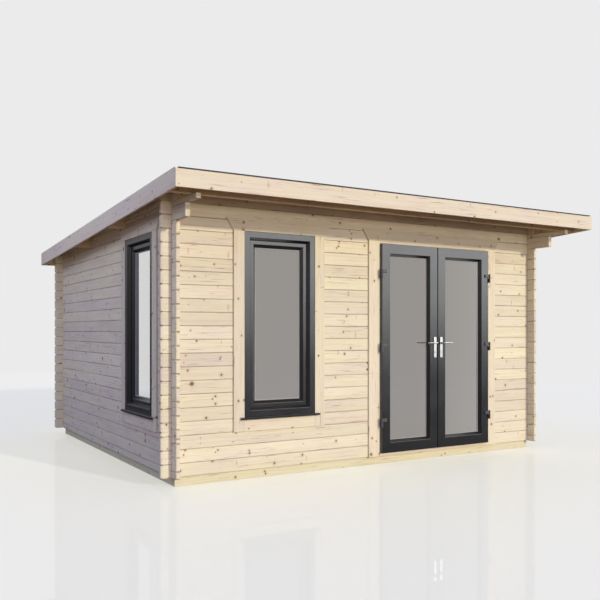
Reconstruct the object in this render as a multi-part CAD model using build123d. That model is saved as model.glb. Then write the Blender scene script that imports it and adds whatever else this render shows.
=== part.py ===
from build123d import *
import os
from math import tan, radians

# Log cabin with a pent roof. Millimetres, +X to the right along the front wall, +Y to the back, +Z up.
# The origin is on the ground, under the middle of the roof.

# Walls of interlocking logs
cabin_width = 4248.0
cabin_depth = 3652.0
log_thickness = 44.0
log_cover = 114.0
log_chamfer = 5.0
stub_length = 92.0
side_course_offset = 62.0
front_courses = 21
rear_courses = 19
side_courses = 19
joint_gap = 0.3
fit_gap = 0.3
thinnest_end = 10.0

# Timber base and floor
base_height = 76.0
bearer_width = 60.0
base_inset_front = 17.0
base_inset_side = 34.0
base_inset_rear = 38.0
joist_width = 44.0
joist_count = 6
floor_thickness = 19.0
floor_edge_gap = 5.0

# Pent roof, falling to the back
roof_pitch = 3.0
roof_board_thickness = 27.0
felt_thickness = 6.0
eaves_front = 622.0
eaves_rear = 176.0
eaves_side = 217.0
fascia_thickness = 20.0
barge_height = 150.0
purlin_thickness = 44.0
purlin_height = 108.0
front_purlin_reach = 412.0
first_purlin = 1140.0
purlin_spacing = 1210.0
lower_corbel_reach = 289.0
upper_corbel_reach = 497.0

# Tall windows, one in the front wall and one in the left wall
window_width = 727.0
window_bottom = 540.0
header_bottom = 2154.0
front_window_from_left = 669.0
left_window_from_front = 414.0
window_face_width = 54.0
window_bevel = 22.0
window_proud = 14.0
window_depth = 70.0
sash_setback = 33.0
sash_face_width = 31.0
sash_bead = 28.0
sash_depth = 60.0
sash_glass_setback = 26.0
sash_rebate = 12.0
glass_thickness = 24.0
sill_proud = 45.0
sill_nose_bottom = 520.0
sill_nose_height = 15.0
sill_nose_width = 20.0
sill_plate = 7.7
sill_horn = 39.0

# Boards round the windows and the doors
trim_thickness = 18.0
window_trim_width = 103.0
door_trim_width = 128.0
header_height = 108.0
header_splay = 72.0
window_trim_bottom = 416.0

# Double doors, opening outwards
door_from_left = 2850.0
leaf_width = 702.0
leaf_gap = 8.0
leaf_bottom = 110.0
leaf_top = 2130.0
leaf_proud = 50.0
flange_thickness = 28.0
leaf_depth = 70.0
leaf_lip = 20.0
leaf_face_width = 97.0
leaf_bead = 24.0
leaf_glass_setback = 36.0
leaf_rebate = 12.0
moving_clearance = 5.0
door_frame_width = 69.0
door_frame_top = 2190.0
threshold_height = 29.0

# Hinges, three to a leaf
hinge_heights = (406.0, 1126.0, 1840.0)
barrel_radius = 9.0
barrel_height = 90.0
pin_radius = 4.0
pin_clearance = 0.3
pin_length = 40.0
pin_axis_side = 8.0
pin_axis_out = 10.0
hinge_leg_thickness = 2.4
flag_length = 46.0
flag_height = 24.0
flag_thickness = 4.0

# Handles
spindle_height = 1167.0
spindle_from_edge = 37.0
plate_width = 33.0
plate_top = 1226.0
plate_bottom = 1021.0
plate_thickness = 8.0
plate_corner = 8.0
lever_length = 130.0
lever_root_radius = 11.0
lever_tip_radius = 8.0
lever_thickness = 12.0
neck_radius = 9.0
neck_length = 36.0

# Places worked out from the sizes above
left_x = -cabin_width / 2
right_x = cabin_width / 2
front_y = eaves_front - (eaves_front + cabin_depth + eaves_rear) / 2
rear_y = front_y + cabin_depth
roof_front_y = front_y - eaves_front
roof_rear_y = rear_y + eaves_rear
roof_left_x = left_x - eaves_side
roof_right_x = right_x + eaves_side
slope = tan(radians(roof_pitch))
side_base = base_height + side_course_offset
side_top = side_base + side_courses * log_cover
rear_top = base_height + rear_courses * log_cover
roof_top = roof_board_thickness + felt_thickness
window_top = header_bottom - fit_gap
window_hole_bottom = window_bottom - fit_gap - sill_plate
front_window_x = left_x + front_window_from_left + window_width / 2
left_window_y = front_y + left_window_from_front + window_width / 2
door_x = left_x + door_from_left
door_half = leaf_gap / 2 + leaf_width
frame_inner = door_half - leaf_lip + moving_clearance
frame_outer = frame_inner + door_frame_width
frame_head = leaf_top - leaf_lip + moving_clearance
trim_inner = door_half + moving_clearance
flange_back = flange_thickness - leaf_proud
leaf_back = leaf_depth - leaf_proud
frame_face = flange_back + moving_clearance


def roof_underside(y):
    """Height of the plane that the roof boards lie on, at a place along Y."""
    return rear_top + (rear_y - y) * slope


def roof_reaches(height):
    """The place along Y where the plane under the roof boards comes down to a height."""
    return rear_y - (height - rear_top) / slope


def block(x0, x1, y0, y1, z0, z1):
    return Pos((x0 + x1) / 2, (y0 + y1) / 2, (z0 + z1) / 2) * Box(x1 - x0, y1 - y0, z1 - z0)


def along_x(x0, x1, outline):
    """A prism along X from an outline of (y, z) points."""
    face = Plane.YZ * make_face(Polyline(*outline, close=True))
    return Pos(x0, 0, 0) * extrude(face, amount=x1 - x0, dir=(1, 0, 0))


def along_y(y0, y1, outline):
    """A prism along Y from an outline of (x, z) points."""
    face = make_face(Polyline(*[(x, 0, z) for x, z in outline], close=True))
    return Pos(0, y0, 0) * extrude(face, amount=y1 - y0, dir=(0, 1, 0))


def roof_slab(x0, x1, y0, y1, low, high):
    """A slab on the roof's slope, between two heights over the plane under the boards."""
    return along_x(x0, x1, [
        (y0, roof_underside(y0) + low),
        (y1, roof_underside(y1) + low),
        (y1, roof_underside(y1) + high),
        (y0, roof_underside(y0) + high),
    ])


def flared_hole(half, low, high, y0, inset, depth):
    """A rectangular hole that narrows by the inset on all four sides over its depth along Y."""
    def ring(y, step):
        corners = [(-half + step, low + step), (half - step, low + step),
                   (half - step, high - step), (-half + step, high - step)]
        return make_face(Polyline(*[(x, y, z) for x, z in corners], close=True))
    return loft([ring(y0, 0), ring(y0 + depth, inset)])


def save(node, shapes):
    """Writes one node from shapes whose solids don't touch."""
    solids = [solid for shape in shapes for solid in shape.solids()]
    part = solids[0] if len(solids) == 1 else Compound(solids)
    part.label = node
    export_step(part, f"parts/{node}.step")


os.makedirs("parts", exist_ok=True)

# Roof boards, felt, fascias at front and rear, barge boards at the sides
barge_left = roof_left_x + fascia_thickness
barge_right = roof_right_x - fascia_thickness
fascia_back = roof_front_y + fascia_thickness
fascia_fore = roof_rear_y - fascia_thickness
barge_low = roof_top - barge_height


def fascia(y0, y1, foot):
    """An upright board across the roof, whose top follows the felt."""
    low = roof_underside(foot) + barge_low
    return along_x(roof_left_x, roof_right_x, [
        (y0, low),
        (y1, low),
        (y1, roof_underside(y1) + roof_board_thickness),
        (y0, roof_underside(y0) + roof_board_thickness),
    ])


save("roof_boards", [roof_slab(barge_left + fit_gap, barge_right - fit_gap, fascia_back + fit_gap,
                               fascia_fore - fit_gap, joint_gap, roof_board_thickness)])
save("roof_covering", [roof_slab(barge_left + fit_gap, barge_right - fit_gap, roof_front_y, roof_rear_y,
                                 roof_board_thickness + joint_gap, roof_top)])
save("front_fascia", [fascia(roof_front_y, fascia_back, roof_front_y)])
save("rear_fascia", [fascia(fascia_fore, roof_rear_y, roof_rear_y)])
for side, x0, x1 in (("left", roof_left_x, barge_left), ("right", barge_right, roof_right_x)):
    save(f"{side}_barge_board", [roof_slab(x0, x1, fascia_back + fit_gap, fascia_fore - fit_gap,
                                           barge_low, roof_top)])

# Purlins: one in front on the corbels, two let into the side walls
purlin_places = (
    front_y - front_purlin_reach,
    front_y + first_purlin,
    front_y + first_purlin + purlin_spacing,
)


def purlin_bottom(y):
    return roof_underside(y) - purlin_height


def purlin(y, gap=0.0):
    """A bar along X whose top follows the roof. With a gap, the pocket that it lies in."""
    low, back = purlin_bottom(y) - gap, y + purlin_thickness + gap
    return along_x(barge_left + fit_gap, barge_right - fit_gap, [
        (y - gap, low),
        (back, low),
        (back, roof_underside(back) + gap),
        (y - gap, roof_underside(y - gap) + gap),
    ])


save("roof_purlins", [purlin(y) for y in purlin_places])
pockets = [purlin(y, fit_gap) for y in purlin_places[1:]]
corbel_top = purlin_bottom(purlin_places[0]) - joint_gap / 2


def course(x0, x1, y0, y1, level, top, run):
    """One log, a hair under its course height. Its long edges are planed off and its ends sawn square."""
    log = block(x0, x1, y0, y1, level + joint_gap / 2, top - joint_gap / 2)
    return chamfer(log.edges().filter_by(run), log_chamfer)


def crossing(x, y, z0, z1):
    """The room that a log of the other wall needs where the two cross at a corner."""
    return block(x - fit_gap, x + log_thickness + fit_gap, y - fit_gap, y + log_thickness + fit_gap,
                 z0, z1)


def notch(log, corners, level, top, under, over):
    """Cuts a log's notches at its corners: a depth from below and a depth from above."""
    for x, y in corners:
        if under:
            log -= crossing(x, y, level, level + under + joint_gap / 2)
        if over:
            log -= crossing(x, y, top - over - joint_gap / 2, top)
    return log


# The side courses lie a half log higher than the others, over a starter. Each log is notched on top for the
# log of the next wall that crosses it. The starter, and the filler under the roof, are halved instead.
over_long = log_cover - side_course_offset
over_side = side_course_offset
halved = side_course_offset / 2
left_corner_x = left_x
right_corner_x = right_x - log_thickness
rear_corner_y = rear_y - log_thickness
above_roof = roof_slab(roof_left_x - stub_length, roof_right_x + stub_length, roof_front_y - stub_length,
                       roof_rear_y + stub_length, 0, cabin_depth)


def long_wall(y, courses):
    """The logs of the front or rear wall, crossing the side walls at both corners."""
    corners = [(left_corner_x, y), (right_corner_x, y)]
    logs = []
    for number in range(courses):
        level = base_height + number * log_cover
        top = level + log_cover
        under = halved if number in (0, front_courses - 1) else 0
        log = course(left_x - stub_length, right_x + stub_length, y, y + log_thickness, level, top, Axis.X)
        log = notch(log, corners, level, top, under, over_long)
        logs.append(log - above_roof if top > rear_top + joint_gap else log)
    return logs


def side_wall(x):
    """The logs of a side wall: a starter, the full courses, the corbels and the cut ones under the roof."""
    corners = [(x, front_y), (x, rear_corner_y)]
    stub_front, stub_rear = front_y - stub_length, rear_y + stub_length

    def side_log(y0, y1, level, top):
        return course(x, x + log_thickness, y0, y1, level, top, Axis.Y)

    starter = side_log(stub_front, stub_rear, base_height, side_base)
    logs = [notch(starter, corners, base_height, side_base, 0, halved)]
    for number in range(side_courses - 1):
        level = side_base + number * log_cover
        top = level + log_cover
        logs.append(notch(side_log(stub_front, stub_rear, level, top), corners, level, top, 0, over_side))
    lower = side_log(front_y - lower_corbel_reach, stub_rear, side_top - log_cover, side_top)
    logs.append(notch(lower, corners[:1], side_top - log_cover, side_top, 0, over_side) - above_roof)
    upper = side_log(front_y - upper_corbel_reach, roof_reaches(side_top + thinnest_end), side_top, corbel_top)
    logs.append(upper - above_roof)
    filler = side_log(stub_front, roof_reaches(corbel_top + thinnest_end), corbel_top, corbel_top + log_cover)
    last_lap = corbel_top + log_cover - (base_height + (front_courses - 1) * log_cover + halved)
    logs.append(notch(filler, corners[:1], corbel_top, corbel_top + log_cover, 0, last_lap) - above_roof)
    return logs


def cut(logs, holes):
    """Takes holes out of logs and returns the pieces that are left."""
    pieces = []
    for log in logs:
        box = log.bounding_box()
        for hole in holes:
            room = hole.bounding_box()
            if box.max.Z > room.min.Z and box.min.Z < room.max.Z:
                log -= hole
        pieces += log.solids()
    return pieces


# Front wall, with the window's hole and the doorway
through_front = (front_y - log_thickness, front_y + 2 * log_thickness)
doorway = block(door_x - frame_outer - fit_gap, door_x + frame_outer + fit_gap, *through_front,
                0, door_frame_top + fit_gap)
front_hole = block(front_window_x - window_width / 2 - fit_gap, front_window_x + window_width / 2 + fit_gap,
                   *through_front, window_hole_bottom, window_top + fit_gap)
front_wall = {"top": [], "right": [], "lower": [], "left": [], "middle": []}
for piece in cut(long_wall(front_y, front_courses), [doorway, front_hole]):
    box = piece.bounding_box()
    if box.max.Z > window_top:
        front_wall["top"].append(piece)
    elif box.min.X > door_x:
        front_wall["right"].append(piece)
    elif box.max.Z < window_hole_bottom + joint_gap:
        front_wall["lower"].append(piece)
    elif box.max.X < front_window_x:
        front_wall["left"].append(piece)
    else:
        front_wall["middle"].append(piece)
for place, logs in front_wall.items():
    save(f"front_wall_{place}_logs", logs)

# Left wall, with its window's hole
left_hole = block(left_x - log_thickness, left_x + 2 * log_thickness,
                  left_window_y - window_width / 2 - fit_gap, left_window_y + window_width / 2 + fit_gap,
                  window_hole_bottom, window_top + fit_gap)
left_wall = {"top": [], "lower": [], "front": [], "rear": []}
for piece in cut(side_wall(left_corner_x), [left_hole, *pockets]):
    box = piece.bounding_box()
    if box.max.Z > window_top:
        left_wall["top"].append(piece)
    elif box.min.Z < window_hole_bottom:
        left_wall["lower"].append(piece)
    elif box.max.Y < left_window_y:
        left_wall["front"].append(piece)
    else:
        left_wall["rear"].append(piece)
for place, logs in left_wall.items():
    save(f"left_wall_{place}_logs", logs)

# Right and rear walls, unbroken
save("right_wall_logs", cut(side_wall(right_corner_x), pockets))
save("rear_wall_logs", long_wall(rear_corner_y, rear_courses))

# Base of treated bearers, joists between them, and the floor
bearer_top = base_height - joint_gap / 2
base_left, base_right = left_x + base_inset_side, right_x - base_inset_side
base_front, base_rear = front_y + base_inset_front, rear_y - base_inset_rear
inner_front, inner_rear = base_front + bearer_width + fit_gap, base_rear - bearer_width - fit_gap
save("base_bearers", [
    block(base_left, base_right, base_front, base_front + bearer_width, 0, bearer_top),
    block(base_left, base_right, base_rear - bearer_width, base_rear, 0, bearer_top),
    block(base_left, base_left + bearer_width, inner_front, inner_rear, 0, bearer_top),
    block(base_right - bearer_width, base_right, inner_front, inner_rear, 0, bearer_top),
])
joist_pitch = (cabin_width - 2 * base_inset_side - bearer_width) / (joist_count + 1)
first_joist = base_left + bearer_width / 2 + joist_pitch
save("floor_joists", [
    block(first_joist + number * joist_pitch - joist_width / 2, first_joist + number * joist_pitch + joist_width / 2,
          inner_front, inner_rear, 0, bearer_top)
    for number in range(joist_count)
])
floor_in = log_thickness + floor_edge_gap
save("floor_boards", [block(left_x + floor_in, right_x - floor_in, front_y + floor_in, rear_y - floor_in,
                            base_height + joint_gap / 2, base_height + floor_thickness)])


def trim_boards(half, width, side_bottom):
    """The boards beside an opening and the splayed board over it, on the face of the wall at y = 0."""
    outer = half + width
    splayed = outer + header_splay
    front, back = -trim_thickness, -fit_gap
    header_top = header_bottom + header_height
    sides = [block(x0, x1, front, back, side_bottom, header_bottom - fit_gap)
             for x0, x1 in ((-outer, -half), (half, outer))]
    header = along_y(front, back, [(-outer, header_bottom), (outer, header_bottom),
                                   (splayed, header_top), (-splayed, header_top)])
    return [header, *sides]


def window_unit():
    """A window round x = 0, with the face of the wall at y = 0 and the outside towards -y."""
    half = window_width / 2
    face_y = -window_proud
    sash_y = face_y + sash_setback
    frame_back = face_y + window_depth
    narrowed = window_face_width + window_bevel
    frame = block(-half, half, face_y, frame_back, window_bottom, window_top)
    frame -= flared_hole(half - window_face_width, window_bottom + window_face_width,
                         window_top - window_face_width, face_y, window_bevel, sash_setback)
    rebate = narrowed - sash_rebate
    frame -= block(-half + rebate, half - rebate, sash_y, frame_back,
                   window_bottom + rebate, window_top - rebate)

    edge = rebate + fit_gap
    sash_front = sash_y + fit_gap
    sash_back = sash_front + sash_depth
    glass_y = sash_front + sash_glass_setback
    sash_inner = narrowed + sash_face_width
    sight = sash_inner + sash_bead
    seat = sight - sash_rebate
    sash = block(-half + edge, half - edge, sash_front, sash_back, window_bottom + edge, window_top - edge)
    sash -= flared_hole(half - sash_inner, window_bottom + sash_inner, window_top - sash_inner,
                        sash_front, sash_bead, sash_glass_setback)
    sash -= block(-half + seat, half - seat, glass_y, glass_y + glass_thickness + fit_gap,
                  window_bottom + seat, window_top - seat)
    sash -= block(-half + sight, half - sight, glass_y, sash_back, window_bottom + sight, window_top - sight)
    pane = seat + fit_gap
    glass = block(-half + pane, half - pane, glass_y + fit_gap, glass_y + glass_thickness,
                  window_bottom + pane, window_top - pane)

    plate_low = window_hole_bottom + joint_gap / 2
    plate_high = window_bottom - fit_gap
    nose_top = sill_nose_bottom + sill_nose_height
    nose_back = sill_nose_width - sill_proud
    horn_back = -trim_thickness - fit_gap
    fall = (plate_high - nose_top) / (sill_proud - window_proud)
    nose = [(nose_back, plate_low), (nose_back, sill_nose_bottom), (-sill_proud, sill_nose_bottom),
            (-sill_proud, nose_top)]
    sill = along_x(-half, half, [(frame_back, plate_low), *nose, (face_y, plate_high), (frame_back, plate_high)])
    horn_end = [(horn_back, plate_low), *nose, (horn_back, nose_top + fall * (sill_proud + horn_back))]
    sill += along_x(-half - sill_horn, half + sill_horn, horn_end)

    boards = trim_boards(half + fit_gap, window_trim_width, window_trim_bottom)
    boards.append(block(-half, half, -trim_thickness, -fit_gap, window_trim_bottom, plate_low - fit_gap))
    return {"frame": [frame], "sash": [sash], "glass": [glass], "sill": [sill], "trim": boards}


window_places = {
    "front": Pos(front_window_x, front_y, 0),
    "left": Pos(left_x, left_window_y, 0) * Rot(0, 0, -90),
}
for wall, place in window_places.items():
    for piece_name, shapes in window_unit().items():
        save(f"{wall}_window_{piece_name}", [place * shape for shape in shapes])

# Door frame in the doorway, its collar standing out between the boards to meet the leaves
doorway_place = Pos(door_x, front_y, 0)
frame_foot = base_height + joint_gap / 2
frame_hole = block(-frame_inner, frame_inner, 2 * frame_face, 2 * log_thickness, 0, frame_head)
frame_body = block(-frame_outer, frame_outer, 0, log_thickness, frame_foot, door_frame_top)
frame_collar = block(fit_gap - trim_inner, trim_inner - fit_gap, frame_face, log_thickness / 2,
                     frame_foot, header_bottom - fit_gap)
save("door_frame", [doorway_place * (frame_body + frame_collar - frame_hole)])
save("door_threshold", [doorway_place * block(fit_gap - frame_inner, frame_inner - fit_gap, frame_face,
                                              log_thickness, frame_foot, base_height + threshold_height)])
save("door_trim", [doorway_place * board for board in trim_boards(trim_inner, door_trim_width, frame_foot)])


def door_leaf():
    """The right-hand leaf and its glass: a flange that laps the frame, and a body behind it."""
    x0, x1 = leaf_gap / 2, door_half
    middle = (x0 + x1) / 2
    leaf = block(x0, x1, -leaf_proud, flange_back, leaf_bottom, leaf_top)
    leaf += block(x0 + leaf_lip, x1 - leaf_lip, flange_back, leaf_back, leaf_bottom, leaf_top - leaf_lip)
    sight = leaf_face_width + leaf_bead
    seat = sight - leaf_rebate
    glass_y = leaf_glass_setback - leaf_proud
    leaf -= Pos(middle, 0, 0) * flared_hole(leaf_width / 2 - leaf_face_width, leaf_bottom + leaf_face_width,
                                            leaf_top - leaf_face_width, -leaf_proud, leaf_bead,
                                            leaf_glass_setback)
    leaf -= block(x0 + seat, x1 - seat, glass_y, glass_y + glass_thickness + fit_gap,
                  leaf_bottom + seat, leaf_top - seat)
    leaf -= block(x0 + sight, x1 - sight, glass_y, 2 * leaf_back, leaf_bottom + sight, leaf_top - sight)
    pane = seat + fit_gap
    glass = block(x0 + pane, x1 - pane, glass_y + fit_gap, glass_y + glass_thickness,
                  leaf_bottom + pane, leaf_top - pane)
    return leaf, glass


def hinge(height):
    """One hinge: the knuckle and flag on the leaf, and the knuckle, pin and leg on the frame."""
    pin_x, pin_y = door_half + pin_axis_side, -leaf_proud - pin_axis_out
    half_barrel = barrel_height / 2
    at_pin = Pos(pin_x, pin_y, height)
    upright = (Align.CENTER, Align.CENTER, Align.MIN)
    knuckle = Pos(0, 0, fit_gap) * Cylinder(barrel_radius, half_barrel - fit_gap, align=upright)
    knuckle -= Cylinder(pin_radius + pin_clearance, pin_length + fit_gap, align=upright)
    flag_y = -leaf_proud - fit_gap
    flag_low = height + (half_barrel - flag_height) / 2
    flag = block(door_half - flag_length, pin_x, flag_y - flag_thickness, flag_y,
                 flag_low, flag_low + flag_height)
    on_leaf = at_pin * knuckle + flag

    foot = Pos(0, 0, -half_barrel) * Cylinder(barrel_radius, half_barrel, align=upright)
    pin = Cylinder(pin_radius, pin_length, align=upright)
    leg_x = (door_half + trim_inner) / 2 + hinge_leg_thickness / 2
    leg = block(leg_x - hinge_leg_thickness / 2, leg_x + hinge_leg_thickness / 2, pin_y, frame_face - fit_gap,
                height - half_barrel, height)
    on_frame = at_pin * (foot + pin) + leg
    return on_leaf, on_frame


def handle():
    """The backplates and the levers on both faces of the leaf, on one spindle line."""
    spindle_x = leaf_gap / 2 + spindle_from_edge
    plates, levers = [], []
    for face, out in ((-leaf_proud, -1), (leaf_back, 1)):
        plate_y = face + out * (fit_gap + plate_thickness / 2)
        plate = Pos(spindle_x, plate_y, (plate_top + plate_bottom) / 2) * Box(
            plate_width, plate_thickness, plate_top - plate_bottom)
        plates.append(fillet(plate.edges().filter_by(Axis.Y), plate_corner))

        neck_start = face + out * (2 * fit_gap + plate_thickness)
        neck_end = neck_start + out * neck_length
        neck = Pos(spindle_x, (neck_start + neck_end) / 2, spindle_height) * Cylinder(
            neck_radius, neck_length, rotation=(90, 0, 0))
        tip_x = lever_length - lever_tip_radius
        outline = make_hull((Circle(lever_root_radius) + Pos(tip_x, 0) * Circle(lever_tip_radius)).edges())
        bar = extrude(outline, amount=lever_thickness)
        bar = Rot(90, 0, 0) * Pos(0, 0, -lever_thickness) * bar
        bar_y = neck_end if out > 0 else neck_end - lever_thickness
        levers.append(neck + Pos(spindle_x, bar_y, spindle_height) * bar)
    return plates, levers


# Both leaves from the right-hand one, the left one mirrored
leaf, leaf_glass = door_leaf()
hinges = [hinge(height) for height in hinge_heights]
plates, levers = handle()
leaf_pieces = {
    "door_leaf": [leaf],
    "door_glass": [leaf_glass],
    "door_hinge_flags": [on_leaf for on_leaf, on_frame in hinges],
    "door_handle_plates": plates,
    "door_levers": levers,
}
for node, shapes in leaf_pieces.items():
    save(f"right_{node}", [doorway_place * shape for shape in shapes])
    save(f"left_{node}", [doorway_place * mirror(shape, about=Plane.YZ) for shape in shapes])
frame_knuckles = [on_frame for on_leaf, on_frame in hinges]
save("door_frame_knuckles", [doorway_place * shape for shape in
                             frame_knuckles + [mirror(shape, about=Plane.YZ) for shape in frame_knuckles]])
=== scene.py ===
import math

import bpy
import numpy as np
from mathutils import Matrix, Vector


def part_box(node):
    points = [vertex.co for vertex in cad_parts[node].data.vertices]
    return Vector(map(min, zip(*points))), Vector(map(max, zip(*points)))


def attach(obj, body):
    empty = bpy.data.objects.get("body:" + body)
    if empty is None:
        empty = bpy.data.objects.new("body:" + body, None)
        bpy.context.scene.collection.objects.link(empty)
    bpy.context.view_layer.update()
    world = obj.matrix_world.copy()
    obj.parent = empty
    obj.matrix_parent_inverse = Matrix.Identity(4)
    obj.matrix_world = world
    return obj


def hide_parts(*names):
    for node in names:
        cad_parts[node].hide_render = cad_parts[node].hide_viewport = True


# Log cabin with a pent roof. Metres, +X right along the front wall, +Y to the back, +Z up.
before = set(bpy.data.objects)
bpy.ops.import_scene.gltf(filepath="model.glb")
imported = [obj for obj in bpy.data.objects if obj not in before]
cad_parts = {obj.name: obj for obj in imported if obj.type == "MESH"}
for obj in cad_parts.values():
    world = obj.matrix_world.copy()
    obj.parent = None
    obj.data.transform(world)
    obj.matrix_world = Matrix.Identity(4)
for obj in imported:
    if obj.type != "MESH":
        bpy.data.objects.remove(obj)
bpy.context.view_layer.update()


# Base and joists
# Pressure-treated bearers run under the four walls, with joists between them, flat on the ground.
# Sawn softwood, yellow-green from the treatment, butted and nailed at the corners.

def rounded_section(corners, radius):
    """A closed outline whose corners are eased, as an array of (first, second) coordinates.

    Each corner gives three points: one the radius back along the edge before it, one the radius on
    along the edge after it, and between them the point at half of a quadratic curve over the corner.
    """
    corner = np.array(corners, float)
    before = np.roll(corner, 1, 0) - corner
    after = np.roll(corner, -1, 0) - corner
    length_before = np.linalg.norm(before, axis=1, keepdims=True)
    length_after = np.linalg.norm(after, axis=1, keepdims=True)
    step = np.minimum(radius, 0.45 * np.minimum(length_before, length_after))
    start = corner + before / length_before * step
    end = corner + after / length_after * step
    middle = (start + 2 * corner + end) / 4
    return np.stack([start, middle, end], 1).reshape(-1, 2)


def eased_bar(axes, stations, thick, wide, ease, rng, low=None, high=None, lean=0.0,
              cut=(True, True), end=None, joint=0.0):
    """One bar as a closed grid: stations along the grain by points round its section.

    Round the section goes the rectangle thick by wide with eased edges. A station clips the wide
    coordinate between its low and its high line, so that a step in those lines is a notch and a slope
    is a taper. A cut end is eased: its last station is drawn in by end, which is (along the grain,
    across, up and down). The last stations lean along the grain by lean times the share of the width,
    which makes a splayed end. The axes say which world axis the grain, the thickness and the width
    take. The grain attribute is the place along and across the tree that the bar was sawn from. The
    tone attribute holds three random numbers for the bar and, as its alpha, how deep a point lies in
    the joint between two bars, from 0 on the face to joint.
    """
    section = rounded_section([(thick[0], wide[0]), (thick[1], wide[0]), (thick[1], wide[1]),
                               (thick[0], wide[1])], ease)
    end = end or (ease, ease, ease)
    u = np.array(stations, float)
    low = np.full(len(u), wide[0]) if low is None else np.array(low, float)
    high = np.full(len(u), wide[1]) if high is None else np.array(high, float)
    drawn = np.zeros(len(u))
    if cut[0]:
        u, low, high, drawn = (np.insert(line, 1, line[0]) for line in (u, low, high, drawn))
        u[1] += end[0]
        drawn[0] = 1
    if cut[1]:
        u, low, high, drawn = (np.insert(line, len(line) - 1, line[-1]) for line in (u, low, high, drawn))
        u[-2] -= end[0]
        drawn[-1] = 1
    across = np.clip(section[None, :, 0], (thick[0] + drawn * end[1])[:, None],
                     (thick[1] - drawn * end[1])[:, None])
    up = np.clip(section[None, :, 1], (low + drawn * end[2])[:, None], (high - drawn * end[2])[:, None])
    leaning = np.zeros(len(u))
    leaning[:1 + cut[0]] = -lean
    leaning[-1 - cut[1]:] = lean
    along = u[:, None] + leaning[:, None] * (up - wide[0]) / (wide[1] - wide[0])
    heart_in = rng.uniform(-0.05, thick[1] - thick[0] + 0.05)
    heart_up = rng.uniform(0.1, 0.9) * (wide[1] - wide[0])
    grain = np.stack([along + rng.uniform(-40, 40), across - thick[0] - heart_in,
                      up - wide[0] - heart_up], 2)
    depth = joint * (1 - np.clip(np.minimum(up - low[:, None], high[:, None] - up) / ease, 0, 1))
    tone = np.column_stack([np.tile(rng.random(3), (depth.size, 1)), depth.ravel()])
    points = np.empty(grain.shape)
    for source, axis in zip((along, across, up), axes):
        points[:, :, "xyz".index(axis)] = source
    count = len(section)
    ring = np.arange(len(u) - 1)[:, None] * count
    corner = ring + np.arange(count)[None, :]
    beside = ring + (np.arange(count)[None, :] + 1) % count
    quads = np.stack([corner, beside, beside + count, corner + count], 2).reshape(-1, 4)
    caps = np.stack([np.arange(count)[::-1], np.arange(count) + (len(u) - 1) * count])
    if axes in ("yxz", "zyx", "xzy"):
        quads, caps = quads[:, ::-1], caps[:, ::-1]
    return points.reshape(-1, 3), quads, caps, grain.reshape(-1, 3), tone


def add_object(name, contents):
    """Puts an object that holds a mesh, a light or a camera into the scene."""
    added = bpy.data.objects.new(name, contents)
    bpy.context.scene.collection.objects.link(added)
    return added


def set_in_place(name, mesh, material, nodes, body):
    """Makes a finished mesh a piece that rides on a body and stands for its CAD nodes, if it has any."""
    mesh.materials.append(material)
    piece = add_object(name, mesh)
    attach(piece, body)
    if nodes:
        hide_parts(*nodes)


def piece_of_bars(name, bars, material, nodes, body="root"):
    """Joins bars into one piece, each bar keeping its own grain and tone."""
    starts = np.cumsum([0] + [len(bar[0]) for bar in bars])
    faces = []
    for bar, start in zip(bars, starts):
        faces += (bar[1] + start).tolist() + (bar[2] + start).tolist()
    mesh = bpy.data.meshes.new(name)
    mesh.from_pydata(np.concatenate([bar[0] for bar in bars]), [], faces)
    grain = mesh.attributes.new("grain", "FLOAT_VECTOR", "POINT")
    grain.data.foreach_set("vector", np.concatenate([bar[3] for bar in bars]).ravel())
    tone = mesh.attributes.new("tone", "FLOAT_COLOR", "POINT")
    tone.data.foreach_set("color", np.concatenate([bar[4] for bar in bars]).ravel())
    set_in_place(name, mesh, material, nodes, body)


def new_material(name):
    """A fresh material, with its node tree and its main shader."""
    material = bpy.data.materials.new(name)
    material.use_nodes = True
    return material, material.node_tree, material.node_tree.nodes["Principled BSDF"]


def plug(tree, made, inputs):
    """Gives each input of a shader node a value or another node's output."""
    for socket, value in inputs.items():
        if isinstance(value, bpy.types.NodeSocket):
            tree.links.new(value, made.inputs[socket])
        else:
            made.inputs[socket].default_value = value


def node(tree, kind, inputs=None, **settings):
    """Adds a shader node, sets its options and fills its inputs."""
    made = tree.nodes.new("ShaderNode" + kind)
    for option, value in settings.items():
        setattr(made, option, value)
    plug(tree, made, inputs or {})
    return made


def calc(tree, operation, *values):
    """The result of one Math node."""
    return node(tree, "Math", dict(enumerate(values)), operation=operation).outputs[0]


def times(tree, first, second):
    """The product of two values."""
    return calc(tree, "MULTIPLY", first, second)


def plus(tree, first, second):
    """The sum of two values."""
    return calc(tree, "ADD", first, second)


def spread(tree, value, low, high, start=0.0, end=1.0):
    """Carries a value from one range to another, held at both ends."""
    return node(tree, "MapRange", {0: value, 1: low, 2: high, 3: start, 4: end}).outputs[0]


def tint(tree, amount, first, second, blend="MIX"):
    """Mixes two colours."""
    made = node(tree, "Mix", {0: amount, 6: first, 7: second}, data_type="RGBA", blend_type=blend)
    return made.outputs[2]


def stain(tree, colour, amount, strength, other):
    """Lays another colour over a colour, by an amount times a strength."""
    return tint(tree, times(tree, amount, strength), colour, other)


def vector(tree, x, y, z=0.0):
    """Joins three values into a vector or a colour."""
    return node(tree, "CombineXYZ", {0: x, 1: y, 2: z}).outputs[0]


def stretched_noise(tree, x, y, z, detail, roughness=0.5, distortion=0.0):
    """Noise over three coordinates, each of which already has its own scale."""
    return node(tree, "TexNoise", {"Vector": vector(tree, x, y, z), "Scale": 1.0, "Detail": detail,
                                   "Roughness": roughness, "Distortion": distortion}).outputs[0]


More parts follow.
